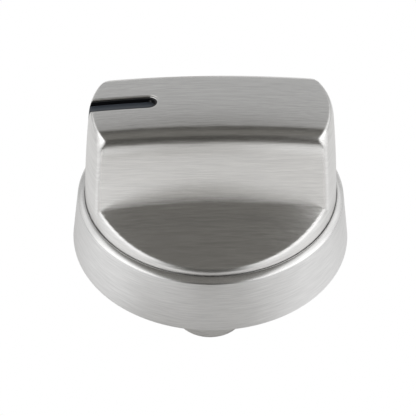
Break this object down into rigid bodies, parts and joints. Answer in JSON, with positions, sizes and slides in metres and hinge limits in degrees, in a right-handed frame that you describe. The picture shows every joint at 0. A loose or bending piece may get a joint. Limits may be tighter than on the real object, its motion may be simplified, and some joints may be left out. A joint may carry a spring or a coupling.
{
  "type": "stove knob",
  "caption": "Round stove knob with a domed bar grip and scooped sides, a separate flared skirt ring, a black pointer strip and a long stem with a D-shaped shaft socket.",
  "frame": {"origin": "on the shaft axis, in the plane of the stem's end face, where the socket opens", "axes": "+Z along the shaft axis, away from the cooker's panel; the bar grip runs along X and the pointer strip lies at its -X end"},
  "size_m": [0.05, 0.05, 0.0514],
  "materials": {
    "brushed_metal": "brushed",
    "ring_steel": "circular brushed, polished lip",
    "black_plastic": "gloss",
    "spring_steel": "plain"
  },
  "bodies": {
    "root": {"knob_body": "brushed_metal", "skirt_ring": "ring_steel", "pointer_strip": "black_plastic", "spring_clip": "spring_steel"}
  },
  "joints": []
}
